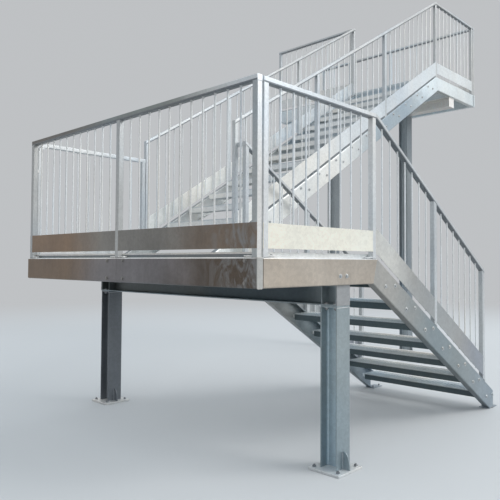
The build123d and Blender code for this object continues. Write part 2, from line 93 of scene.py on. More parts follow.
TREAD_HEIGHT = 40.0
TREAD_DEPTH = 262.0
LOWER_STEPS = 7
UPPER_STEPS = 13
lower_low, lower_high = corners("lower_flight_treads")
upper_low, upper_high = corners("upper_flight_treads")
GOING = (upper_high.x - upper_low.x - TREAD_DEPTH) / (UPPER_STEPS - 1)
RISE = (upper_high.z - upper_low.z - TREAD_HEIGHT) / (UPPER_STEPS - 1)
SLOPE = RISE / GOING
PITCH = math.atan(SLOPE)
MITRE = DEPTH * math.tan(PITCH / 2)
ABOVE_BOTTOM = 162.0  # from a stringer's lower edge up to the middle of a tread's top

LOWER_KINK = (lower_low.x + TREAD_DEPTH / 2) - (LOW_BOTTOM - (lower_high.z - ABOVE_BOTTOM)) / SLOPE
first_top = upper_low.z + TREAD_HEIGHT
UPPER_LOW_KINK = (upper_low.x + TREAD_DEPTH / 2) - (first_top - ABOVE_BOTTOM - LOW_BOTTOM) / SLOPE
UPPER_HIGH_KINK = UPPER_LOW_KINK + (HIGH_BOTTOM - LOW_BOTTOM) / SLOPE
GROUND = LOWER_KINK + LOW_BOTTOM / SLOPE
CHANNEL_END = END - FLANGE
# lower edges of the stringers as (along, height)
LOWER_RUN = [(FLANGE, LOW_BOTTOM), (LOWER_KINK, LOW_BOTTOM), (GROUND, 0.0)]
UPPER_RUN = [(FLANGE, LOW_BOTTOM), (UPPER_LOW_KINK, LOW_BOTTOM), (UPPER_HIGH_KINK, HIGH_BOTTOM),
             (CHANNEL_END, HIGH_BOTTOM)]

POST = 40.0
RAIL = 36.0          # height of the rail's tube
TUBE_ROUND = 4.0     # corner radius of posts and rails
RAIL_RISE = 1003.0   # from the channel's top to the rail's
BAR = 6.0            # radius of a baluster
BAR_PITCH = 110.0
KICK_SHEET = 2.8     # thickness of the kick plates


# ---- mesh kit ----
CHANNEL, RAILING, SECTION = "galvanised_channel", "galvanised_railing", "galvanised_section"
GRATING, BRACKET = "galvanised_grating", "galvanised_bracket"


def link(name, data):
    made = bpy.data.objects.new(name, data)
    bpy.context.scene.collection.objects.link(made)
    return made


def soften(piece, width, angle):
    """A small bevel, in millimetres, on the edges sharper than the angle."""
    soft = piece.modifiers.new("edges", "BEVEL")
    soft.width = width / METRE
    soft.segments = 2
    soft.limit_method = "ANGLE"
    soft.angle_limit = math.radians(angle)


def walls(rows):
    """Faces between rows of points, each a closed ring of the same length."""
    n = len(rows[0])
    return [(a + i, a + (i + 1) % n, a + n + (i + 1) % n, a + n + i)
            for a in range(0, n * (len(rows) - 1), n) for i in range(n)]


class Shape:
    """Collects closed solids in millimetres and makes one object of them."""

    def __init__(self):
        self.verts, self.faces, self.tones = [], [], []

    def add(self, verts, faces, tone=None):
        """tone is the solid's own shade from -1 to 1, drawn where it isn't given."""
        tone = rng.uniform(-1, 1) if tone is None else tone
        base = len(self.verts)
        self.verts += [tuple(v) for v in verts]
        self.faces += [tuple(i + base for i in f) for f in faces]
        self.tones += [tone] * len(verts)

    def box(self, corner, opposite):
        xs, ys, zs = (sorted(pair) for pair in zip(corner, opposite))
        v = [(x, y, z) for x in xs for y in ys for z in zs]
        f = [(0, 1, 3, 2), (4, 6, 7, 5), (0, 4, 5, 1), (2, 3, 7, 6), (0, 2, 6, 4), (1, 5, 7, 3)]
        self.add(v, f)

    def prism(self, outline, axis, start, end, tone=None):
        """Outline points are the two other coordinates in XYZ order."""
        spot = "xyz".index(axis)
        self.ring([[p[:spot] + (a,) + p[spot:] for p in outline] for a in (start, end)], tone)

    def strip(self, rows, tone=None):
        """Rings joined in order. Each goes out and back beside itself, so quads across it cap the ends."""
        n = len(rows[0])
        caps = []
        for base, flip in ((0, True), ((len(rows) - 1) * n, False)):
            for i in range(n // 2 - 1):
                quad = (base + i, base + i + 1, base + n - 2 - i, base + n - 1 - i)
                caps.append(quad[::-1] if flip else quad)
        self.add([p for row in rows for p in row], walls(rows) + caps, tone)

    def ring(self, rows, tone=None):
        """Rings joined in order, with one flat face at each end."""
        n, count = len(rows[0]), len(rows) * len(rows[0])
        caps = [tuple(range(n))[::-1], tuple(range(count - n, count))]
        self.add([p for row in rows for p in row], caps + walls(rows), tone)

    def rod(self, start, end, radius, sides=12):
        self.ring(rings(Vector(start), Vector(end), [(0, radius), (1, radius)], sides))

    def object(self, name, material, slot, bevel=0.0, angle=35, replaces=(), others=()):
        """others are further materials, each with the test of a face's middle that gives it to the face."""
        mesh = bpy.data.meshes.new(name)
        mesh.from_pydata([Vector(v) / METRE + ORIGIN for v in self.verts], [], self.faces)
        work = bmesh.new()
        work.from_mesh(mesh)
        bmesh.ops.recalc_face_normals(work, faces=work.faces)
        work.to_mesh(mesh)
        work.free()
        tone = mesh.attributes.new("tone", "FLOAT", "POINT")
        tone.data.foreach_set("value", self.tones)
        mesh.polygons.foreach_set("use_smooth", [True] * len(mesh.polygons))
        mesh.set_sharp_from_angle(angle=math.radians(angle))
        piece = link(name, mesh)
        mesh.materials.append(material)
        for index, (further, test) in enumerate(others, 1):
            mesh.materials.append(further)
            for face in mesh.polygons:
                if test((face.center - ORIGIN) * METRE):
                    face.material_index = index
        if bevel:
            soften(piece, bevel, angle)
        flat = piece.modifiers.new("normals", "WEIGHTED_NORMAL")
        flat.keep_sharp = True
        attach(piece, "root")
        if replaces:
            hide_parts(*replaces)


def rings(start, end, steps, sides, turn=0.0):
    """Rings about the line from start to end, each at a share of its length with a radius."""
    axis = (end - start).normalized()
    side = axis.orthogonal().normalized()
    other = axis.cross(side)
    rows = []
    for share, radius in steps:
        centre = start.lerp(end, share)
        row = []
        for i in range(sides):
            a = turn + 2 * math.pi * i / sides
            row.append(centre + radius * (math.cos(a) * side + math.sin(a) * other))
        rows.append(row)
    return rows


def offset_run(points, distance):
    """The polyline moved sideways by a distance, mitred at its kinks."""
    ways = []
    for (x1, z1), (x2, z2) in zip(points, points[1:]):
        length = math.hypot(x2 - x1, z2 - z1)
        ways.append(((x2 - x1) / length, (z2 - z1) / length))
    moved = []
    for (x, z), (ax, az), (bx, bz) in zip(points, ways[:1] + ways, ways + ways[-1:]):
        reach = distance / (1 + ax * bx + az * bz)
        moved.append((x - (az + bz) * reach, z + (ax + bx) * reach))
    return moved


def height_on(line, x):
    """Height of a polyline at a place along it, level beyond its ends."""
    for (x1, z1), (x2, z2) in zip(line, line[1:]):
        if x1 <= x <= x2:
            return z1 + (x - x1) * (z2 - z1) / (x2 - x1)
    return line[0][1] if x < line[0][0] else line[-1][1]


def arc(cx, cy, radius, start, end, count):
    step = (end - start) / count
    return [(cx + radius * math.cos(start + step * i), cy + radius * math.sin(start + step * i))
            for i in range(count + 1)]


def channel_section(extra=()):
    """The pressed channel's section, outer line and then inner line back, as (height, inward).

    extra are heights at which the web gets a further point.
    """
    lines = []
    for radius, face in ((BEND, 0.0), (BEND - WEB, WEB)):
        turns = [math.pi / 2 * i / 5 for i in range(6)]
        half = [(face, FLANGE)] + [(BEND - radius * math.cos(a), BEND - radius * math.sin(a)) for a in turns]
        lines.append(half + [(n, face) for n in extra] + [(DEPTH - n, y) for n, y in half[::-1]])
    return lines[0] + lines[1][::-1]


# ---- materials ----
class Nodes:
    """Adds nodes to a tree. A new node's inputs are linked or set, and its outputs come back."""

    def __init__(self, tree):
        self.tree = tree

    def feed(self, node, inputs):
        for key, value in inputs.items():
            if isinstance(value, bpy.types.NodeSocket):
                self.tree.links.new(value, node.inputs[key])
            else:
                node.inputs[key].default_value = value

    def add(self, kind, inputs=None, **settings):
        made = self.tree.nodes.new(kind)
        for key, value in settings.items():
            setattr(made, key, value)
        self.feed(made, inputs or {})
        return made.outputs

    def ranged(self, value, low, high, to_low=0.0, to_high=1.0, kind="LINEAR"):
        inputs = {"Value": value, "From Min": low, "From Max": high, "To Min": to_low, "To Max": to_high}
        return self.add("ShaderNodeMapRange", inputs, interpolation_type=kind)[0]

    def smooth(self, value, low, high, to_low=0.0, to_high=1.0):
        return self.ranged(value, low, high, to_low, to_high, "SMOOTHSTEP")

    def maths(self, kind, first, second):
        return self.add("ShaderNodeMath", {0: first, 1: second}, operation=kind)[0]

    def times(self, first, second):
        """Product of two colours, or of a colour and a gain."""
        return self.add("ShaderNodeVectorMath", {0: first, 1: second}, operation="MULTIPLY")[0]

    def blend(self, factor, first, second):
        return self.add("ShaderNodeMix", {"Factor": factor, 6: first, 7: second}, data_type="RGBA")[2]


def make_material(name):
    material = bpy.data.materials.new(name)
    material.use_nodes = True
    return material, material.node_tree.nodes["Principled BSDF"], Nodes(material.node_tree)


SMEAR = (0.34, 0.345, 0.35, 1)


def galvanised(name, tint, metallic=0.5, rough=0.36, spangle=0.035, patch=0.07, streak=0.05, cell=20.0,
               bump=0.10, hue=0.05, shading_bands=None, smear=0.0, kind="galvanised"):
    """Hot dip zinc: crystals, cloudy patches, run marks down the face and fine grain.

    The blends along an axis are given as that axis, two places along it and the reach of the blends there,
    in millimetres, and tint is then three colours of painted light and shade that change along the axis.
    smear is the strength of the wiped pale marks near the landing's corner.
    """
    material, shader, nodes = make_material(f"{kind}_{name}")
    maths, ranged, smooth, blend = nodes.maths, nodes.ranged, nodes.smooth, nodes.blend
    place = nodes.add("ShaderNodeTexCoord")["Object"]
    tone = nodes.add("ShaderNodeAttribute", attribute_name="tone")["Fac"]

    def grain(scale, detail, stretch, roughness, distortion=0.0):
        where = nodes.add("ShaderNodeMapping", {"Vector": place, "Scale": stretch})["Vector"]
        return nodes.add("ShaderNodeTexNoise", {"Vector": where, "Scale": scale, "Detail": detail,
                                                "Roughness": roughness, "Distortion": distortion})["Fac"]

    def crystals(size, channel):
        cells = nodes.add("ShaderNodeTexVoronoi", {"Vector": place, "Scale": METRE / size}, feature="F1")
        return nodes.add("ShaderNodeSeparateColor", {"Color": cells["Color"]})[channel]

    def around(value, amount):
        """A factor of 0 to 1 turned into a gain about 1."""
        return ranged(value, 0.25, 0.75, 1 - amount, 1 + amount)

    lights, fine_lights = crystals(cell, 0), crystals(cell * 0.35, 1)
    clouds = grain(2.2, 5.0, (1, 1, 1), 0.55, 0.5)
    runs = grain(7.0, 4.0, (1, 1, 0.10), 0.6, 0.3)
    small = grain(70.0, 4.0, (1, 1, 1), 0.6)
    gain = maths("MULTIPLY", around(lights, spangle), around(fine_lights, spangle * 0.6))
    for value, amount in ((clouds, patch), (runs, streak), (small, 0.03)):
        gain = maths("MULTIPLY", gain, around(value, amount))
    gain = maths("MULTIPLY", gain, ranged(tone, -1.0, 1.0, 0.96, 1.04))
    drift = ranged(grain(1.1, 3.0, (1, 1, 0.6), 0.5, 0.4), 0.3, 0.7)
    # painted light and shade: three tints blended along one axis
    if shading_bands:
        axis, start, stop, reach = shading_bands
        corner = ORIGIN["XYZ".index(axis)]
        start, stop, reach = corner + start / METRE, corner + stop / METRE, reach / METRE
        first, second, third = ((*colour, 1) for colour in tint)
        run = nodes.add("ShaderNodeSeparateXYZ", {"Vector": place})[axis]
        run = maths("ADD", run, ranged(clouds, 0.3, 0.7, -0.35 * reach, 0.35 * reach))
        colour = blend(smooth(run, start - reach, start + reach), first, second)
        colour = blend(smooth(run, stop - reach, stop + reach), colour, third)
        colour = nodes.times(colour, blend(drift, (1 + hue, 1, 1 - hue, 1), (1 - hue, 1, 1 + hue, 1)))
    else:
        warm, cool = ((tint[0] * (1 + h), tint[1], tint[2] * (1 - h), 1) for h in (hue, -hue))
        colour = blend(drift, warm, cool)
    colour = nodes.times(colour, gain)
    roughness = ranged(clouds, 0.3, 0.7, rough - 0.05, rough + 0.06)
    if smear:
        wipes = ranged(grain(9.0, 7.0, (1.0, 1.4, 0.7), 0.68, 1.4), 0.44, 0.62)
        at_y = nodes.add("ShaderNodeSeparateXYZ", {"Vector": place})["Y"]
        near = smooth(at_y, ORIGIN.y + 0.12, ORIGIN.y + 0.50, 1.0, 0.08)
        mark = maths("MULTIPLY", maths("MULTIPLY", wipes, near), smear)
        colour = blend(mark, colour, SMEAR)
        roughness = maths("ADD", roughness, maths("MULTIPLY", mark, 0.25))
    height = maths("ADD", maths("ADD", small, maths("MULTIPLY", lights, 0.6)), clouds)
    normal = nodes.add("ShaderNodeBump", {"Height": height, "Strength": bump, "Distance": 0.0012})["Normal"]
    nodes.feed(shader, {"Base Color": colour, "Roughness": roughness, "Metallic": metallic, "Normal": normal})
    return material


# the side's zinc: wiped pale marks, and tints blended along Y that paint a brown wall's reflection and shade
CALM = dict(rough=0.34, patch=0.20, streak=0.10, hue=0.02, bump=0.06, smear=0.75,
            shading_bands=("Y", 620, SEAM + 450, 280))
THICK = dict(rough=0.42, patch=0.09)
TUBE = dict(cell=14.0)
SMALL = dict(spangle=0.02, cell=6.0, kind="zinc")

# channels
# painted sky light: the upper landing's channels, its corner plate and the joists lighter and bluer than the
# same zinc lower down
sky_lit_steel = galvanised("bright", (0.80, 0.87, 0.91))
shade_steel = galvanised("shade", (0.22, 0.25, 0.27))
# painted light: the lower stringers' level run in a warm light tint, a painted reflection of the pale yard
lit_level_steel = galvanised("level", (0.56, 0.495, 0.425), 0.6, 0.34, patch=0.15, streak=0.08)
# painted light and shade along the lower stringers' slope: warm and light by the landing, darker blue-grey
# further down
slope_shading_steel = galvanised("slope", ((0.49, 0.48, 0.455), (0.285, 0.34, 0.37), (0.335, 0.385, 0.425)),
                         rough=0.38, patch=0.08, shading_bands=("X", 1620, 2600, 360))
# painted light along the upper stringers: light at the flight's foot and top, greyer blue in between
upper_shading_steel = galvanised("upper", ((0.96, 0.97, 0.95), (0.43, 0.51, 0.57), (0.84, 0.93, 0.98)),
                         0.35, patch=0.10, shading_bands=("X", 3000, 4400, 450))
# painted reflection and shade: the side channel in dark browns and greys, a brown wall reflected in zinc that
# lies in shade
side_reflection_steel = galvanised("side", ((0.122, 0.093, 0.071), (0.24, 0.226, 0.234), (0.237, 0.167, 0.116)),
                        **CALM)
corner_steel = galvanised("corner", (0.60, 0.60, 0.58))
# supports
# painted light and shade: the near column's flanges darker and its web lighter, one zinc lit two ways
column_shade_steel = galvanised("column", (0.37, 0.43, 0.455), 0.7, hue=0.04, **THICK)
web_lit_steel = galvanised("web", (0.52, 0.63, 0.69), 0.7, hue=0.04, **THICK)
shaded_column = galvanised("shaded_column", (0.215, 0.23, 0.25), rough=0.44, patch=0.09, hue=0.04)
# painted light and shade: the upper columns' webs lit, their flanges in the landing's shadow
high_web_lit_steel = galvanised("high_web_lit", (0.54, 0.60, 0.64), **THICK)
high_column_shade_steel = galvanised("high_column_shade", (0.29, 0.33, 0.36), **THICK)
# painted shade: the lower beam lighter by the near column and dark under the deck beyond, its bottom flange
# painted lighter than the shaded web
beam_shading_steel = galvanised("beam", ((0.40, 0.46, 0.49), (0.10, 0.135, 0.158), (0.15, 0.165, 0.165)),
                        rough=0.46, patch=0.09, shading_bands=("Y", 240, 1400, 200))
flange_lit_steel = galvanised("flange", (0.34, 0.40, 0.43), rough=0.46, patch=0.09)
# painted sky light: the upper beam nearly white
sky_lit_beam_steel = galvanised("sky_lit_beam", (0.97, 0.98, 0.98), 0.2, 0.34, patch=0.04)
plate_end_steel = galvanised("end_plate", (0.40, 0.41, 0.42), rough=0.42, patch=0.08)
# painted sky reflection: the columns' base plates lighter than the columns
sky_lit_base_steel = galvanised("base", (0.80, 0.79, 0.77), 0.4, 0.40)
# gratings and treads
grating_steel = galvanised("grating", (0.70, 0.74, 0.76), rough=0.40, cell=12.0)
tread_steel = galvanised("tread", (0.64, 0.70, 0.73), rough=0.45, cell=12.0)
# painted shade: the dark bar behind each lower tread
back_shade_steel = galvanised("tread_back_shade", (0.115, 0.155, 0.17), rough=0.45, cell=12.0)
# kick plates
# the kick plates' own zinc, also laid on bends, deck edges and tread edges as a painted highlight
plate_and_highlight_steel = galvanised("plate", (0.92, 0.92, 0.91), 0.3, 0.33)
# painted light: the near kick plate, facing the light, nearly white and without gloss
lit_near_plate = galvanised("lit_near_plate", (0.99, 0.95, 0.835), 0.0, patch=0.045, streak=0.03, bump=0.04)
# painted light and shade along the sloping kick plates: light by the landing, greyer further down
slope_shading_plate = galvanised("slope_shading_plate", ((0.80, 0.79, 0.75), (0.43, 0.45, 0.46), (0.34, 0.365, 0.41)),
                         patch=0.06, shading_bands=("X", 1520, 2500, 260))
# painted light along the upper kick plates
high_shading_plate = galvanised("high_shading_plate", ((0.96, 0.95, 0.91), (0.76, 0.81, 0.85), (0.80, 0.86, 0.90)),
                        0.3, 0.33, patch=0.08, shading_bands=("X", 2600, 4600, 600))
# painted reflection and shade: the side kick plate in browns, like the side channel
side_reflection_plate = galvanised("side_reflection_plate",
                        ((0.235, 0.184, 0.146), (0.275, 0.264, 0.248), (0.315, 0.213, 0.142)), **CALM)
# posts, rails and balusters
rail_steel = galvanised("rail", (0.65, 0.68, 0.70), **TUBE)
# painted shade on the rails' lower part
underside_shade_steel = galvanised("underside_shade", (0.24, 0.26, 0.28), **TUBE)
# painted light and shade: the side rail and posts light by the corner, darker towards the wall
side_rail_shading_steel = galvanised("side_rail", ((0.84, 0.86, 0.87), (0.32, 0.35, 0.345), (0.22, 0.21, 0.20)),
                             shading_bands=("Y", 450, SEAM + 450, 400), **TUBE)
side_post_shading_steel = galvanised("side_post_shading", ((0.82, 0.82, 0.81), (0.56, 0.58, 0.59), (0.50, 0.52, 0.53)),
                             shading_bands=("Y", 400, SEAM + 600, 300), **TUBE)
# painted shade on the first side post's face away from the light
post_shade_steel = galvanised("post_shade", (0.50, 0.53, 0.54), **TUBE)
# painted light: the near railing's posts and rail lighter than the other railings
lit_near_tube_steel = galvanised("near_tube", (0.75, 0.78, 0.80), 0.4, **TUBE)
lit_near_rail_steel = galvanised("near_rail", (0.82, 0.835, 0.845), 0.4, **TUBE)
bar_steel = galvanised("bar", (0.86, 0.88, 0.89), 0.3, 0.40, cell=10.0)
# bolts and welds
bolt_steel = galvanised("bolt", (0.80, 0.81, 0.81), 0.9, patch=0.08, **SMALL)
# painted shade: the side channel's bolt heads darker than the other bolts
shaded_side_bolt_steel = galvanised("shaded_side_bolt", (0.30, 0.29, 0.28), patch=0.08, **SMALL)
stud_steel = galvanised("stud", (0.52, 0.54, 0.55), 0.9, 0.42, patch=0.1, **SMALL)
nut_steel = galvanised("nut", (0.30, 0.31, 0.32), 0.9, 0.42, patch=0.1, **SMALL)
weld_steel = galvanised("weld", (0.60, 0.62, 0.63), 0.8, 0.46, spangle=0.04, patch=0.15, cell=8.0, bump=0.3,
                        kind="zinc")


# ---- small parts ----
bolts = {}
welds = Shape()


def bolt(group, centre, normal, size=12.0, head=True, stud=0.0):
    """A hexagon head or nut on a washer, with its axis along normal, seated on centre.

    The side bolts carry their own washers, and the others' are one group.
    """
    shape = bolts.setdefault(group, Shape())
    discs = shape if group == "side_bolts" else bolts.setdefault("washers", Shape())
    base, normal = Vector(centre), Vector(normal).normalized()
    tone = rng.uniform(-1, 1)
    top = base + normal * size * 0.2
    wide = size * 1.25
    discs.ring(rings(base, top, [(0, wide), (0.7, wide), (1, wide * 0.95)], 20), tone)
    thick = size * (0.58 if head else 0.8)
    across = size * 0.92
    base, top = top, top + normal * thick
    turn = rng.uniform(0, math.pi / 3)
    shape.ring(rings(base, top, [(0, across), (0.86, across), (1, across * 0.86)], 6, turn), tone)
    if stud:
        steps = [(0, size / 2), (0.85, size / 2), (1, size * 0.42)]
        shape.ring(rings(top, top + normal * stud, steps, 12), tone)


def weld(start, end, radius):
    """A fillet bead with its ripples between two points."""
    start, end = Vector(start), Vector(end)
    ripple = 7.0
    count = max(3, int((end - start).length / ripple))
    steps = [(0.0, radius * 0.5)]
    for i in range(1, count):
        steps.append((i / count, radius * rng.uniform(0.85, 1.15) * (1.08 if i % 2 else 0.92)))
    steps.append((1.0, radius * 0.5))
    welds.ring(rings(start, end, steps, 6, rng.uniform(0, 1)))


# ---- stringers and channels ----
HIGHLIGHT_LIP = 6.0  # height of the painted highlight along a level channel's top bend


def on_slope(run):
    """Tells for a face's middle whether it lies beyond the mitre where the run leaves the level."""
    kink_x, kink_z = run[1]
    top_x, top_z = offset_run(run, DEPTH)[1]
    return lambda at: at.x > kink_x + (at.z - kink_z) * (top_x - kink_x) / (top_z - kink_z)


def on_top(run):
    """Tells for a face's middle whether it is the top of the sloping channel's upper flange, which gets
    painted shade.
    """
    edge = offset_run(run, DEPTH)
    return lambda at: at.x > run[1][0] and at.z > height_on(edge, at.x) - 0.6


def on_highlight_lip(run):
    """Tells for a face's middle whether it is on the top bend of the level channel, which gets a painted
    highlight.
    """
    return lambda at: at.x < run[1][0] and at.z > LOW_TOP - HIGHLIGHT_LIP


def stringer(name, node, run, y, facing, level, slope):
    """A pressed channel along a kinked run, its web face at depth y. The lower ones have a foot."""
    foot = run is LOWER_RUN
    toe = (FOOT - GROUND) * math.sin(PITCH)  # where the foot's upright cut leaves the lower edge
    columns = []
    for n, inward in channel_section((toe, DEPTH / 2) if foot else (DEPTH / 2,)):
        line = offset_run(run, n)
        if foot:
            x, z = line[1]
            end_x = min(FOOT, x + z / SLOPE)
            line[2] = (end_x, max(0.0, z - (end_x - x) * SLOPE))
        columns.append([(x, y + facing * inward, z) for x, z in line])
    shape = Shape()
    shape.strip(list(zip(*columns)), 0.0)
    proud = y + facing * 1.6
    for kink in range(1, len(run) - 1):
        low, top = offset_run(run, BEND)[kink], offset_run(run, DEPTH - BEND)[kink]
        weld((low[0], proud, low[1]), (top[0], proud, top[1]), 2.2)
    if foot:
        half, margin = FOOT_PLATE.x / 2, 24
        shape.box((FOOT - half, y, 0.0), (FOOT + half, y + facing * FOOT_PLATE.y, FOOT_PLATE.z))
        for dx in (margin - half, half - margin):
            place = (FOOT + dx, y + facing * (FOOT_PLATE.y - margin), FOOT_PLATE.z)
            bolt("anchor_bolts", place, (0, 0, 1), 11.0, head=False, stud=8)
        weld((FOOT - half + 10, y + facing * 1.5, 9), (FOOT - 3, y + facing * 1.5, 9), 2.5)
    # painted light on the level run and the slope, painted shade on the sloping flange's top and a painted
    # highlight on the level run's top bend
    shape.object(name, level, CHANNEL, bevel=1.0, replaces=(node,),
                 others=((slope, on_slope(run)), (shade_steel, on_top(run)), (plate_and_highlight_steel, on_highlight_lip(run))))


stringer("run_lower_outer", "lower_outer_stringer", LOWER_RUN, NEAR, 1, lit_level_steel, slope_shading_steel)
stringer("run_lower_inner", "lower_inner_stringer", LOWER_RUN, INNER, -1, lit_level_steel, slope_shading_steel)
stringer("run_upper_near", "upper_near_stringer", UPPER_RUN, WELL, 1, upper_shading_steel, upper_shading_steel)
stringer("run_upper_far", "upper_far_stringer", UPPER_RUN, FAR, -1, upper_shading_steel, upper_shading_steel)


def straight_channel(shape, axis, face, facing, start, end, z):
    """A channel along X or Y with its web face at the given depth."""
    rows = []
    for along in (start, end):
        section = [(face + facing * inward, z + n) for n, inward in channel_section()]
        rows.append([(depth, along, up) if axis == "y" else (along, depth, up) for depth, up in section])
    shape.strip(rows)


SPLICE = Vector((8, 150, 16))  # thickness, half length and margin of the plate behind the side's joint
side = Shape()
for y0, y1 in ((NEAR, SEAM - 1.0), (SEAM + 1.0, FAR)):
    straight_channel(side, "y", 0.0, 1, y0, y1, LOW_BOTTOM)
side.box((WEB, SEAM - SPLICE.y, LOW_BOTTOM + SPLICE.z),
         (WEB + SPLICE.x, SEAM + SPLICE.y, LOW_TOP - SPLICE.z))
# the side channel's top bend gets a painted highlight
side.object("side_channel", side_reflection_steel, CHANNEL, bevel=1.0,
            replaces=("lower_landing_side_channel",),
            others=((plate_and_highlight_steel, lambda at: at.z > LOW_TOP - HIGHLIGHT_LIP),))
plate_low = corners("lower_landing_side_channel")[0]
PLATE_WIDE, PLATE_ROUND, PLATE_FOOT = 45.0, 11.0, plate_low.z + 9.0
plate_turn = PLATE_FOOT + PLATE_ROUND
outline = [(0.0, LOW_TOP)]
outline += arc(PLATE_ROUND, plate_turn, PLATE_ROUND, math.pi, 1.5 * math.pi, 6)
outline += arc(PLATE_WIDE - PLATE_ROUND, plate_turn, PLATE_ROUND, -0.5 * math.pi, 0.0, 6)
outline += [(PLATE_WIDE, LOW_TOP)]
corner = Shape()
corner.prism(outline, "y", plate_low.y, NEAR)
corner.object("corner_plate", corner_steel, CHANNEL, bevel=1.6)

# the upper landing's channels and corner plate carry the painted sky light
for part, axis, face, facing, start, end in (
    ("end", "y", END, -1, WELL, WALL),
    ("side", "y", UPPER_EDGE, 1, FAR, WALL),
    ("wall", "x", WALL, -1, UPPER_EDGE + FLANGE, CHANNEL_END),
):
    shape = Shape()
    straight_channel(shape, axis, face, facing, start, end, HIGH_BOTTOM)
    shape.object(f"upper_landing_{part}_edge", sky_lit_steel, CHANNEL, bevel=1.0,
                 replaces=(f"upper_landing_{part}_channel",))
corner = Shape()
corner.box((END - PLATE_WIDE, WELL - 6.0, HIGH_BOTTOM - 3.0), (END, WELL, HIGH_TOP))
corner.object("upper_corner_plate", sky_lit_steel, CHANNEL, bevel=1.6)


# ---- gratings ----
MESH = 33.3        # pitch of the bars, both ways
SLAT = 3.0         # their thickness
CROSS_BAR = 10.0   # height of the cross bars
DECK_EDGE = POST + 1.0
HIGHLIGHT_CREST = 11.0       # height of the painted highlight along the top of the deck's edge by the side channel
JOINT = 2.5        # half the gap between two panels


def grating(shape, x0, x1, y0, y1, top, depth, along="y", edge=4.0, crest=0.0):
    """Bearing bars and cross bars inside a banded edge. crest is the height of the first bar's top part."""
    bottom = top - depth
    shape.box((x0, y0, bottom), (x1, y0 + edge, top))
    shape.box((x0, y1 - edge, bottom), (x1, y1, top))
    if crest:
        shape.box((x0, y0 + edge, top - crest), (x0 + edge, y1 - edge, top))
    shape.box((x0, y0 + edge, bottom), (x0 + edge, y1 - edge, top - crest))
    shape.box((x1 - edge, y0 + edge, bottom), (x1, y1 - edge, top))
    count_x = max(1, round((x1 - x0) / MESH))
    count_y = max(1, round((y1 - y0) / MESH))
    for i in range(1, count_x):
        x = x0 + (x1 - x0) * i / count_x
        low = bottom if along == "y" else top - CROSS_BAR
        shape.box((x - SLAT / 2, y0 + edge, low), (x + SLAT / 2, y1 - edge, top - 0.4))
    for i in range(1, count_y):
        y = y0 + (y1 - y0) * i / count_y
        low = bottom if along == "x" else top - CROSS_BAR
        shape.box((x0 + edge, y - SLAT / 2, low), (x1 - edge, y + SLAT / 2, top - 0.8))


deck_low, deck_high = corners("lower_landing_deck")
turn = UPPER_LOW_KINK - MITRE - 5.0
inset = FLANGE + 5.0
shape = Shape()
for x0, x1, y0, y1, crest in (
    (deck_low.x, LOWER_KINK - MITRE, deck_low.y, SEAM - JOINT, HIGHLIGHT_CREST),
    (LOWER_KINK - MITRE + 0.5, deck_high.x, deck_low.y, INNER - DECK_EDGE, 0.0),
    (deck_low.x, turn, SEAM + JOINT, deck_high.y, HIGHLIGHT_CREST),
    (turn + 0.5, UPPER_EDGE - (UPPER_STEPS * GOING) + 5.0, WELL + inset, FAR - inset, 0.0),
):
    grating(shape, x0, x1, y0, y1, LOW_DECK, LOW_DECK - LOW_TOP, crest=crest)
# painted highlight on the deck's banded edges, and painted shade on the side edge under the crest
shape.object("lower_deck_grating", grating_steel, GRATING, replaces=("lower_landing_deck",),
             others=((plate_and_highlight_steel, lambda at: at.y < deck_low.y + 4.0 or at.x < deck_low.x + 3.0),
                     (shade_steel, lambda at: at.x < deck_low.x + 3.0 and at.z < LOW_DECK - HIGHLIGHT_CREST)))

high_low, high_high = corners("upper_landing_deck")
seam_y = FAR - DECK_EDGE - JOINT
shape = Shape()
thick = HIGH_DECK - HIGH_TOP
grating(shape, high_low.x, high_high.x, high_low.y, seam_y - JOINT, HIGH_DECK, thick)
grating(shape, high_low.x + DECK_EDGE, high_high.x, seam_y + JOINT, WALL, HIGH_DECK, thick, "x")
shape.object("upper_deck_grating", grating_steel, GRATING, replaces=("upper_landing_deck",))

NOSE = 34.0          # depth of the nosing
BACK_BAR = 58.0      # height of the bar along a tread's back, with its lip in the tread's tint above; the lower flight's bar carries painted shade
BACK_LIP = 9.0
HIGHLIGHT_EDGE = 100.0  # depth of the painted highlight along the lower treads' far edge
END_PLATE = 5.0
SHEET = 4.0
DOTS = 22            # raised dots of a nosing


def step_top(low, high, i, rising):
    return (low.z + TREAD_HEIGHT + i * RISE) if rising else (high.z - i * RISE)


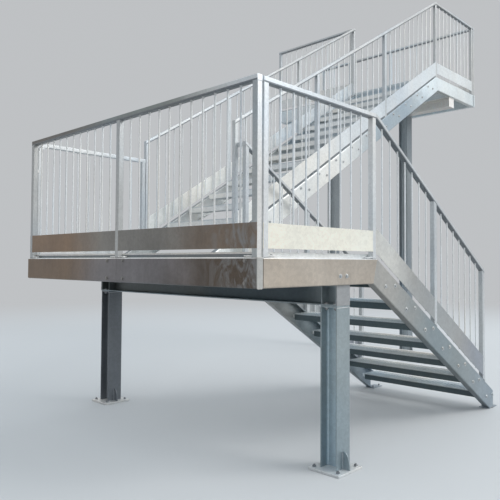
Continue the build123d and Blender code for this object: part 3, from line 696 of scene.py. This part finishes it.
def treads(name, node, steps, rising, material, back_material):
    """Grating treads with end plates, a nosing on the lower side and a closing bar behind."""
    low, high = corners(node)
    y0, y1 = low.y + END_PLATE, high.y - END_PLATE
    shape, edges = Shape(), Shape()
    for i in range(steps):
        x0 = low.x + i * GOING
        x1 = x0 + TREAD_DEPTH
        last = x1 - SHEET
        top = step_top(low, high, i, rising)
        front = (x0, x0 + NOSE) if rising else (x1 - NOSE, x1)
        body = (front[1], last) if rising else (x0 + SHEET, front[0])
        nose = (x0 + SHEET, front[1]) if rising else (front[0], last)
        grating(shape, *body, y0, y1, top, TREAD_HEIGHT - 6, edge=3.0)
        for y in (low.y, y1):
            shape.box((x0, y, top - TREAD_HEIGHT), (x1, y + END_PLATE, top))
        shape.box((nose[0], y0, top - SHEET), (nose[1], y1, top))
        edges.box((x0, y0, top - BACK_BAR), (x0 + SHEET, y1, top - BACK_LIP))
        shape.box((x0 - 1, y0, top - BACK_LIP), (x0 + SHEET, y1, top))
        shape.box((last, y0, top - TREAD_HEIGHT + SHEET), (last + SHEET, y1, top))
        for k in range(DOTS):
            y = low.y + 40 + (high.y - low.y - 80) * k / (DOTS - 1)
            dot = Vector((middle(*front), y, top - 0.6))
            shape.ring(rings(dot, dot + Vector((0, 0, 0.6)), [(0, 7), (1, 5)], 8))

    # the upper nosings, and the lower treads' far edge, which gets a painted highlight
    def on_nosing_or_highlight(at):
        across = (at.x - low.x) % GOING
        return across < NOSE if rising else TREAD_DEPTH - HIGHLIGHT_EDGE < across < TREAD_DEPTH

    shape.object(name, material, GRATING, replaces=(node,), others=((plate_and_highlight_steel, on_nosing_or_highlight),))
    # the bars behind the treads, with painted shade on them in the lower flight
    edges.object(name + "_edge", back_material, GRATING, bevel=0.8)


treads("lower_treads", "lower_flight_treads", LOWER_STEPS, False, tread_steel, back_shade_steel)
treads("upper_treads", "upper_flight_treads", UPPER_STEPS, True, grating_steel, plate_and_highlight_steel)


# ---- supports ----
BEAM_WIDE, BEAM_WEB, BEAM_FLANGE, ROOT = 140.0, 5.5, 8.5, 12.0
COLUMN_DEEP = 133.0
BEAM_END = 8         # thickness of a beam's end plates
CAP = 12             # thickness of a column's cap plate
BASE = 15.0          # thickness of its base plate
GUSSET, GUSSET_TOP = 50, 125.0         # how far a gusset stands out, and where it ends above the floor
GUSSET_TOE, GUSSET_LAND = 12, 8        # its upright edge at the foot and its flat at the top
STIFFENERS = ((-62, -54), (54, 62))    # faces of the web stiffeners from a column's middle
CAP_BOLTS, ANCHORS = (42, 36), (95, 95)    # the bolts' places from it


def wide_section(depth, width):
    """Outline of a wide flange section with root fillets, about its middle: (across, up)."""
    w, d, t = width / 2, depth / 2, BEAM_WEB / 2
    quarter = [(w, d), (w, d - BEAM_FLANGE)]
    quarter += [(t + ROOT - ROOT * math.sin(a), d - BEAM_FLANGE - ROOT + ROOT * math.cos(a))
                for a in [math.pi / 2 * i / 4 for i in range(5)]]
    right = quarter + [(x, -z) for x, z in quarter[::-1]]
    return right + [(-x, z) for x, z in right[::-1]]


def four(x, y, reach_x, reach_y):
    """The four places beside a middle."""
    return [(x + sx * reach_x, y + sy * reach_y) for sx in (-1, 1) for sy in (-1, 1)]


def beam(level, material, flange, end_material):
    low, high = corners(level + "_cross_beam")
    x, z = middle(low.x, high.x), middle(low.z, high.z)
    under, over = low.z + BEAM_FLANGE, high.z - BEAM_FLANGE
    section = wide_section(high.z - low.z, high.x - low.x)
    shape, ends = Shape(), Shape()
    shape.prism([(x + a, z + b) for a, b in section], "y", low.y + BEAM_END, high.y - BEAM_END, 0.0)
    for y in (low.y, high.y - BEAM_END):
        ends.box((low.x, y, low.z), (high.x, y + BEAM_END, high.z))
    ends.object(level + "_beam_end_plates", end_material, SECTION, bevel=1.5)
    for place in ("_near_column", "_far_column"):
        y = middle(*extent(level + place, "y"))
        for hand in (-1, 1):
            inner, outer = x + hand * (BEAM_WEB / 2), x + hand * (BEAM_WIDE / 2 - 1)
            for y0, y1 in STIFFENERS:
                shape.box((inner, y + y0, under), (outer, y + y1, over))
        for place_x, place_y in four(x, y, *CAP_BOLTS):
            bolt("column_bolts", (place_x, place_y, under), (0, 0, 1), 14.0)
            bolt("column_bolts", (place_x, place_y, low.z - CAP), (0, 0, -1), 14.0, head=False, stud=6)
    # the bottom flange gets its own tint, on the lower beam painted lighter than the shaded web
    shape.object(level + "_beam", material, SECTION, bevel=1.5, replaces=(level + "_cross_beam",),
                 others=((flange, lambda at: at.z < low.z + BEAM_FLANGE),))


def column(place, material, web_material):
    low, high = corners(place + "_column")
    x, y = middle(low.x, high.x), middle(low.y, high.y)
    left, right = x - BEAM_WIDE / 2, x + BEAM_WIDE / 2
    cap = high.z - CAP
    shape, base = Shape(), Shape()
    shape.prism([(x + a, y + b) for a, b in wide_section(COLUMN_DEEP, BEAM_WIDE)], "z", BASE, cap, 0.0)
    base.box((low.x, low.y, 0.0), (high.x, high.y, BASE))
    base.object(place + "_post_base_plate", sky_lit_base_steel, SECTION, bevel=2.0)
    shape.box((left, y - COLUMN_DEEP / 2, cap), (right, y + COLUMN_DEEP / 2, high.z))
    for sign in (-1, 1):
        face = y + sign * COLUMN_DEEP / 2
        toe = BASE + GUSSET_TOE
        outline = [(face, BASE), (face + sign * GUSSET, BASE), (face + sign * GUSSET, toe)]
        for i in range(1, 9):
            a = math.pi / 2 * i / 8
            out = GUSSET_LAND + (GUSSET - GUSSET_LAND) * math.cos(a)
            outline.append((face + sign * out, toe + (GUSSET_TOP - toe) * math.sin(a)))
        outline += [(face, GUSSET_TOP)]
        shape.prism(outline, "x", x - 5, x + 5)
        for dx in (-6.5, 6.5):
            weld((x + dx, face, BASE + 3), (x + dx, face, GUSSET_TOP - 5), 3)
            weld((x + dx, face, BASE + 1.5), (x + dx, face + sign * (GUSSET - 4), BASE + 1.5), 3)
        weld((left, face, BASE + 1), (right, face, BASE + 1), 3.5)
        weld((left, face, cap - 1), (right, face, cap - 1), 3)
    for place_x, place_y in four(x, y, *ANCHORS):
        bolt("anchor_bolts", (place_x, place_y, BASE), (0, 0, 1), 13.0, head=False, stud=6)

    # the web between the flanges, painted lighter than the flanges on the near and upper columns
    def inside(at):
        return abs(at.x - x) < BEAM_WIDE / 4 and abs(at.y - y) < COLUMN_DEEP / 2 - BEAM_FLANGE

    shape.object(place + "_post", material, SECTION, bevel=1.5, replaces=(place + "_column",),
                 others=((web_material, inside),))


# the beams and columns carry painted light and shade in their tints
beam("lower", beam_shading_steel, flange_lit_steel, plate_end_steel)
beam("upper", sky_lit_beam_steel, sky_lit_beam_steel, sky_lit_beam_steel)
column("lower_near", column_shade_steel, web_lit_steel)
column("lower_far", shaded_column, shaded_column)
column("upper_near", high_column_shade_steel, high_web_lit_steel)
column("upper_far", high_column_shade_steel, high_web_lit_steel)


# ---- railings ----
feet = Shape()
SHADE_EDGE = 11.0      # height of the painted shade along the rails' lower part
FOOT_LONG = 62.0      # length of the plate beside a post's foot
FOOT_LOW, FOOT_HIGH = 3.0, 10.0    # its faces above the channel, on a packing piece
BAR_FOOT = 14         # from a kick plate's lower edge to the balusters' ends
COLLAR = 4            # height of the weld where a baluster meets the rail
WAVE_ROWS = 5         # rows of points up a kick plate, and steps along it
WAVE_STEPS = 28
LEVEL_KICK = GAP, HIGH = 48.0, 142.0    # gap under a kick plate and its height, on the level
SLOPE_KICK = 28.0, 175.0                # and along a slope


def rounded(w, h):
    """A rectangle with rounded corners about its middle."""
    r = TUBE_ROUND
    ring = []
    for a, (x, y) in enumerate(((1, 1), (-1, 1), (-1, -1), (1, -1))):
        ring += arc(x * (w / 2 - r), y * (h / 2 - r), r, a * math.pi / 2, (a + 1) * math.pi / 2, 3)
    return ring


def bays(posts, start, end):
    """Places of the balusters between the posts."""
    edges = [start] + [v for x in posts for v in (x, x + POST)] + [end]
    spots = []
    for a, b in zip(edges[::2], edges[1::2]):
        if b - a >= BAR_PITCH:
            count = max(1, round((b - a) / BAR_PITCH) - 1)
            spots += [a + (b - a) / (count + 1) * (i + 1) for i in range(count)]
    return spots


def kick_plate(name, material, at, face, facing, low_line, high_line):
    """A sheet with slight waves between its lower and its upper edge."""
    wave = rng.uniform(0, 6)
    rows = []
    for (a, z0), (_, z1) in zip(low_line, high_line):
        front, back = [], []
        for j in range(WAVE_ROWS + 1):
            t = j / WAVE_ROWS
            swell = 0.5 * math.sin(a / 170 + wave) * math.sin(math.pi * t) + 0.3 * math.sin(a / 61 + t * 3)
            swell = max(0.0, 0.8 + swell) * math.sin(math.pi * t) ** 0.5 * 0.9
            z = z0 + (z1 - z0) * t
            front.append(at(a, face + facing * swell * 0.8, z))
            back.append(at(a, face + facing * (swell * 0.8 + KICK_SHEET), z))
        rows.append(front + back[::-1])
    board = Shape()
    board.strip(rows, 0.0)
    board.object(name + "_kick_plate", material, RAILING, bevel=0.6)


def panel(name, node, posts, face, facing, axis, line, kick, material=rail_steel, plate=plate_and_highlight_steel,
          tube_material=None, others=(), foot_plates=(), rail_line=None, kick_outline=None, bend=0.0):
    """Posts, rail, balusters and kick plate over the top edge of a channel.

    axis says what runs along: "x" or "y". line is the channel's top edge as (along, height), and kick
    the kick plate's gap above it and its height, or kick_outline gives that plate's two edges.
    foot_plates are the post edges with a bolted plate beside them, and the way it points. bend is the
    radius by which the rail turns down into the first post, in one tube. others are further materials
    of the posts, as in Shape.object.
    """
    gap, height = kick
    start, end = extent(node, axis)
    rail_line = rail_line or [(a, z + RAIL_RISE) for a, z in line]
    centre = face + facing * POST / 2

    def at(along, depth, z):
        return (along, depth, z) if axis == "x" else (depth, along, z)

    shape, bars, tube = Shape(), Shape(), Shape()
    # the top rail, swept and mitred at the kinks, with points where the painted shade of its lower part
    # begins
    section = rounded(POST, RAIL)
    section.insert(len(section) // 2, (-POST / 2, SHADE_EDGE - RAIL / 2))
    section.append((POST / 2, SHADE_EDGE - RAIL / 2))
    if bend:
        mid_a, mid_z = start + POST / 2, rail_line[0][1] - RAIL / 2
        path = [(mid_a, height_on(line, mid_a))]
        path += arc(mid_a + bend, mid_z - bend, bend, math.pi, math.pi / 2, 10)
        path += [(end, mid_z)]
        columns = [[at(a, centre + depth, z) for a, z in offset_run(path, up)] for depth, up in section]
    else:
        path = [(start, height_on(rail_line, start))] + [p for p in rail_line if start < p[0] < end]
        path += [(end, height_on(rail_line, end))]
        columns = [[at(a, centre + depth, z + up - RAIL / 2) for a, z in path] for depth, up in section]
    tube.ring(list(zip(*columns)))
    # posts stand on the channel and end under the rail
    for a in posts[1:] if bend else posts:
        outline = [(a + POST / 2 + p, centre + q) for p, q in rounded(POST, POST)]
        shape.ring([[at(p, q, height_on(line, p)) for p, q in outline],
                    [at(p, q, height_on(rail_line, p) - RAIL + 2) for p, q in outline]])
        back = centre + facing * POST / 2
        weld(at(a, back, height_on(line, a) + 1), at(a + POST, back, height_on(line, a + POST) + 1), 3)
        for s in (-1, 1):
            edge = a + POST / 2 + s * POST / 2
            if axis == "y" and edge > WALL - 1:
                continue
            for z, radius in ((height_on(line, edge) + 1, 3), (height_on(rail_line, edge) - RAIL, 2.2)):
                weld(at(edge, centre - POST / 2, z), at(edge, centre + POST / 2, z), radius)
    for a, way in foot_plates:
        a, b = sorted((a, a + way * FOOT_LONG))
        z = height_on(line, a)
        feet.box(at(a, face + facing * 2.0, z + FOOT_LOW), at(b, face + facing * (POST - 2), z + FOOT_HIGH))
        bolt("post_bolts", at((a + b) / 2 + way * 12, centre, z + FOOT_HIGH), (0, 0, 1), 8.0)
        shape.box(at(a + 6, face + facing * 12.0, z), at(b - 6, face + facing * (POST - 12), z + 3.5))
    for a in bays(posts, start, end):
        top = height_on(rail_line, a) - RAIL + 3
        floor = rail_line[0][1] - RAIL_RISE if kick_outline else 0.0
        bars.rod(at(a, centre, max(height_on(line, a), floor) + gap + BAR_FOOT), at(a, centre, top), BAR)
        collar = Vector(at(a, centre, top - 3))
        bars.ring(rings(collar - Vector((0, 0, COLLAR)), collar, [(0, BAR + 0.3), (1, BAR + 2.4)], 12))

    # faces in the rail's lower part, which get the painted shade
    def in_shade_band(spot):
        return spot.z < height_on(rail_line, spot.x if axis == "x" else spot.y) - RAIL + SHADE_EDGE

    shape.object(name, material, RAILING, bevel=0.8, replaces=(node,), others=others)
    tube.object(name + "_tube", tube_material or material, RAILING, bevel=0.8,
                others=() if bend else ((underside_shade_steel, in_shade_band),))
    bars.object(name + "_bars", bar_steel, RAILING)
    if not kick_outline:
        marks = {start + (end - start) * i / WAVE_STEPS for i in range(WAVE_STEPS + 1)}
        marks = sorted(marks | {p[0] for p in line if start < p[0] < end})
        kick_outline = [[(a, height_on(line, a) + up) for a in marks] for up in (gap, gap + height)]
    kick_plate(name, plate, at, face, facing, *kick_outline)


LOW_LINE = [(0.0, LOW_TOP), (END, LOW_TOP)]
HIGH_LINE = [(0.0, HIGH_TOP), (END, HIGH_TOP)]
LOWER_LINE = offset_run(LOWER_RUN, DEPTH)
UPPER_LINE = offset_run(UPPER_RUN, DEPTH)

side_start, side_end = extent("lower_landing_side_railing", "y")
side_mid = FAR / 2 - POST / 2
# the side railing carries painted light and shade, with painted shade on the first post's outer face and a
# painted reflection on its kick plate
panel("side_rail", "lower_landing_side_railing", [side_start, side_mid, side_end - POST], 0.0, 1, "y",
      LOW_LINE, LEVEL_KICK, side_post_shading_steel, side_reflection_plate, side_rail_shading_steel,
      others=((post_shade_steel, lambda at: at.x < 4.0 and at.y < side_start + POST),),
      foot_plates=[(side_start + POST, 1), (side_mid, -1), (side_mid + POST, 1), (side_end - POST, -1)])
# the kick plate's end cover takes the painted reflection too
cover = Shape()
cover.box((-0.8, side_start + 0.5, LOW_TOP + GAP), (0.4, side_start + POST, LOW_TOP + GAP + HIGH))
cover.object("side_kick_end", side_reflection_plate, RAILING)

near_start, near_end = extent("lower_landing_near_railing", "x")
# the near railing and its kick plate carry painted light
panel("near_rail", "lower_landing_near_railing", [near_start, near_end - POST], NEAR, 1, "x", LOW_LINE,
      LEVEL_KICK, lit_near_rail_steel, lit_near_plate, lit_near_tube_steel,
      foot_plates=[(near_start + POST, 1), (near_end - POST, -1)])

# the wall side's kick plate is cut off along the upper flight's own
wall_start, wall_end = extent("lower_landing_wall_railing", "x")
turn_x = UPPER_LINE[1][0] + (GAP - SLOPE_KICK[0]) / SLOPE
stop_x = UPPER_LINE[1][0] + (GAP + HIGH - SLOPE_KICK[0]) / SLOPE
marks = [wall_start + (turn_x - wall_start) * i / 16 for i in range(17)]
marks += [turn_x + (stop_x - 3 - turn_x) * i / 6 for i in range(1, 7)]
kick_low = [(a, max(LOW_TOP + GAP, height_on(UPPER_LINE, a) + SLOPE_KICK[0])) for a in marks]
kick_high = [(a, LOW_TOP + GAP + HIGH) for a in marks]
panel("wall_rail", "lower_landing_wall_railing", [wall_start, wall_end - POST], FAR, -1, "x", UPPER_LINE,
      LEVEL_KICK, rail_line=[(a, z + RAIL_RISE) for a, z in LOW_LINE],
      kick_outline=(kick_low, kick_high), foot_plates=[(wall_start + POST, 1)], bend=75.0)

last_post = extent("lower_outer_railing", "x")[1] - POST
outer_posts = [last_post - 900.0, last_post]
# the sloping kick plates carry painted light and shade
panel("outer_rail", "lower_outer_railing", outer_posts, NEAR, 1, "x", LOWER_LINE, SLOPE_KICK,
      plate=slope_shading_plate)
inner_start = extent("lower_inner_railing", "x")[0]
panel("inner_rail", "lower_inner_railing", [inner_start] + outer_posts, INNER, -1, "x", LOWER_LINE,
      SLOPE_KICK, plate=slope_shading_plate)

first, last = extent("upper_near_railing", "x")
upper_posts = [first, first + 4 * GOING, first + 8.45 * GOING, last - POST]
# the upper kick plates carry painted light
for part, face, facing in (("near", WELL, 1), ("far", FAR, -1)):
    panel(f"upper_{part}_rail", f"upper_{part}_railing", upper_posts, face, facing, "x", UPPER_LINE,
          SLOPE_KICK, plate=high_shading_plate)

top_end = extent("upper_landing_near_railing", "x")[1]
# its kick plate carries painted light
panel("top_near_rail", "upper_landing_near_railing", [top_end - POST], WELL, 1, "x", HIGH_LINE, LEVEL_KICK,
      plate=high_shading_plate)
wall_post = WALL - POST
panel("top_end_rail", "upper_landing_end_railing", [WELL, (WELL + wall_post) / 2, wall_post - 570, wall_post],
      END, -1, "y", HIGH_LINE, LEVEL_KICK)
panel("top_side_rail", "upper_landing_side_railing", [FAR, wall_post], UPPER_EDGE, 1, "y", HIGH_LINE,
      LEVEL_KICK)

clip = Shape()
clip_z = LOW_DECK + 720.0
clip.rod((4.0, side_end - 9.0, clip_z), (wall_start + 6.0, side_end - 9.0, clip_z), 8.0, 16)
clip.box((POST - 1.0, side_end - 22.0, clip_z - 14.0), (wall_start + 1.0, side_end - 1.0, clip_z + 14.0))
clip.object("post_clip", plate_and_highlight_steel, BRACKET, bevel=1.0)
feet.object("post_feet", plate_and_highlight_steel, RAILING, bevel=1.2)
closing = Shape()
bar_top = height_on(LOWER_LINE, inner_start) + RAIL_RISE
closing.box((inner_start, INNER, bar_top - RAIL), (inner_start + RAIL, WELL, bar_top))
closing.object("well_bar", rail_steel, RAILING, bevel=3.0)


# ---- bolts through the webs ----
TREAD_BOLTS = (-62, 62)     # from the middle of a tread
SIDE_BOLTS = (SEAM - 82, SEAM + 118, 90), (LOW_BOTTOM + 28, LOW_TOP - 20)    # places along, and heights
LANDING_BOLTS, LANDING_BOLT_Z = (755, 822), LOW_BOTTOM + 58

for node, steps, rising, y_near, y_far, drop in (
    ("lower_flight_treads", LOWER_STEPS, False, NEAR, INNER, 50),
    ("upper_flight_treads", UPPER_STEPS, True, WELL, FAR, 38),
):
    low, high = corners(node)
    for i in range(steps):
        x = low.x + TREAD_DEPTH / 2 + i * GOING
        z = step_top(low, high, i, rising) - drop
        for dx in TREAD_BOLTS:
            bolt("tread_bolts", (x + dx, y_near, z), (0, -1, 0))
            bolt("tread_bolts", (x + dx, y_far, z), (0, 1, 0))
for y in SIDE_BOLTS[0]:
    for z in SIDE_BOLTS[1]:
        bolt("side_bolts", (0, y, z), (-1, 0, 0), 11.5)
for x in LANDING_BOLTS:
    bolt("landing_bolts", (x, NEAR, LANDING_BOLT_Z), (0, -1, 0))
    bolt("landing_bolts", (x, FAR, LANDING_BOLT_Z), (0, 1, 0))
heads = dict(washers=bolt_steel, side_bolts=shaded_side_bolt_steel, landing_bolts=stud_steel, tread_bolts=stud_steel)
for group, shape in bolts.items():
    shape.object(group, heads.get(group, nut_steel), BRACKET)
welds.object("weld_beads", weld_steel, BRACKET, angle=80)

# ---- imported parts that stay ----
for node in ("lower_landing_joist", "upper_landing_joists", "lower_tread_cleats", "upper_tread_cleats"):
    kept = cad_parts[node]
    kept.data.materials.clear()
    # the joists take the painted sky-lit tint
    kept.data.materials.append(sky_lit_steel if "joist" in node else grating_steel)
    soften(kept, 1.2, 30)


# ---- camera, floor and light ----
# the photograph's camera as it was fitted: angles in degrees, metres from the corner, and pixels
YAW, CAMERA_PITCH, ROLL = 42.697, 1.8742, 0.2432
CAMERA_PLACE = Vector((-2.2308, -2.2114, 1.3295))
FOCAL, PHOTO, CENTRE = 582.53, 500.0, (277.51, 243.26)
SENSOR = 36.0

FLOOR = (0.60, 0.61, 0.62, 1)
GROUND_TONE = (0.17, 0.165, 0.155, 1)
BACKDROP = (0.52, 0.535, 0.55, 1)
OVERHEAD = (0.68, 0.70, 0.72, 1)
HORIZON = (0.56, 0.54, 0.50, 1)
SKY = (0.92, 1.0, 1.06, 1)
# what else stands around the stair, and which way it lies
BROWN_WALL, WALL_WAY, WALL_HEIGHT = (0.13, 0.105, 0.085, 1), (-0.62, 0.78, 0.0), 0.35
YARD, YARD_WAY = (0.84, 0.82, 0.76, 1), (0.735, -0.678, 0.0)


def make_camera():
    yaw, pitch, roll = (math.radians(v) for v in (YAW, CAMERA_PITCH, ROLL))
    ahead = Vector((math.cos(yaw) * math.cos(pitch), math.sin(yaw) * math.cos(pitch), math.sin(pitch)))
    right = Vector((math.sin(yaw), -math.cos(yaw), 0.0))
    up = right.cross(ahead)
    across = right * math.cos(roll) + up * math.sin(roll)
    rise = up * math.cos(roll) - right * math.sin(roll)
    camera = link("camera", bpy.data.cameras.new("camera"))
    turn = Matrix((across, rise, -ahead)).transposed().to_4x4()
    turn.translation = CAMERA_PLACE + ORIGIN
    camera.matrix_world = turn
    camera.data.sensor_width = SENSOR
    camera.data.lens = FOCAL * SENSOR / PHOTO
    camera.data.shift_x = (PHOTO / 2 - CENTRE[0]) / PHOTO
    camera.data.shift_y = (CENTRE[1] - PHOTO / 2) / PHOTO
    camera.data.clip_end = 400.0
    bpy.context.scene.camera = camera


def seen(nodes):
    """1 for what the camera sees, itself or by gloss or transmission, and 0 for what only lights."""
    ray = nodes.add("ShaderNodeLightPath")
    either = nodes.maths("MAXIMUM", ray["Is Camera Ray"], ray["Is Glossy Ray"])
    return nodes.maths("MAXIMUM", either, ray["Is Transmission Ray"])


def make_floor():
    """A pale floor that fades into the backdrop. Soft light comes from a darker ground instead."""
    mesh = bpy.data.meshes.new("floor")
    half = 120.0
    mesh.from_pydata([(-half, -half, 0), (half, -half, 0), (half, half, 0), (-half, half, 0)], [],
                     [(0, 1, 2, 3)])
    floor = link("floor", mesh)
    material, shader, nodes = make_material("floor_paint")
    nodes.feed(shader, {"Base Color": FLOOR, "Roughness": 0.9})
    paper = nodes.add("ShaderNodeEmission", {"Color": BACKDROP, "Strength": 1.0})[0]
    place = nodes.add("ShaderNodeTexCoord")["Object"]
    away = nodes.add("ShaderNodeVectorMath", {0: place}, operation="LENGTH")["Value"]
    faded = nodes.add("ShaderNodeMixShader",
                      {0: nodes.smooth(away, 4.5, 15.0), 1: shader.outputs[0], 2: paper})[0]
    ground = nodes.add("ShaderNodeBsdfDiffuse", {"Color": GROUND_TONE})[0]
    both = nodes.add("ShaderNodeMixShader", {0: seen(nodes), 1: ground, 2: faded})[0]
    nodes.feed(nodes.tree.nodes["Material Output"], {"Surface": both})
    mesh.materials.append(material)


def make_world():
    """The camera and the zinc's gloss see pale paper with a bright sky high above it.

    Soft light comes from that sky and a warm grey horizon with a brown wall and a pale yard.
    """
    world = bpy.data.worlds.new("studio")
    world.use_nodes = True
    bpy.context.scene.world = world
    nodes = Nodes(world.node_tree)
    look = nodes.add("ShaderNodeTexCoord")["Generated"]
    height = nodes.add("ShaderNodeSeparateXYZ", {"Vector": look})["Z"]

    def toward(way, low, high):
        share = nodes.add("ShaderNodeVectorMath", {0: look, 1: way}, operation="DOT_PRODUCT")["Value"]
        return nodes.smooth(share, low, high)

    wall = toward(WALL_WAY, 0.0, 0.85)
    lifted = nodes.maths("SUBTRACT", height, nodes.maths("MULTIPLY", wall, WALL_HEIGHT))
    horizon = nodes.blend(wall, HORIZON, BROWN_WALL)
    horizon = nodes.blend(toward(YARD_WAY, 0.2, 0.9), horizon, YARD)
    around = nodes.blend(nodes.smooth(lifted, 0.0, 0.12), horizon, SKY)
    paper = nodes.blend(nodes.smooth(height, 0.45, 0.75), BACKDROP, OVERHEAD)
    room, plain = (nodes.add("ShaderNodeBackground", {"Color": colour, "Strength": 1.0})[0]
                   for colour in (around, paper))
    mix = nodes.add("ShaderNodeMixShader", {0: seen(nodes), 1: room, 2: plain})[0]
    nodes.feed(nodes.tree.nodes["World Output"], {"Surface": mix})


def make_lamp():
    data = bpy.data.lights.new("key", "AREA")
    data.size = 9.0
    data.energy = 1330
    data.color = (1.0, 0.985, 0.96)
    data.specular_factor = 0.05
    lamp = link("key", data)
    lamp.location = Vector((6.0, -13.5, 12.0))
    lamp.rotation_mode = "QUATERNION"
    lamp.rotation_quaternion = (Vector((0.0, 0.0, 1.8)) - lamp.location).to_track_quat("-Z", "Y")


make_camera()
make_floor()
make_world()
make_lamp()
bpy.context.scene.view_settings.view_transform = "Standard"
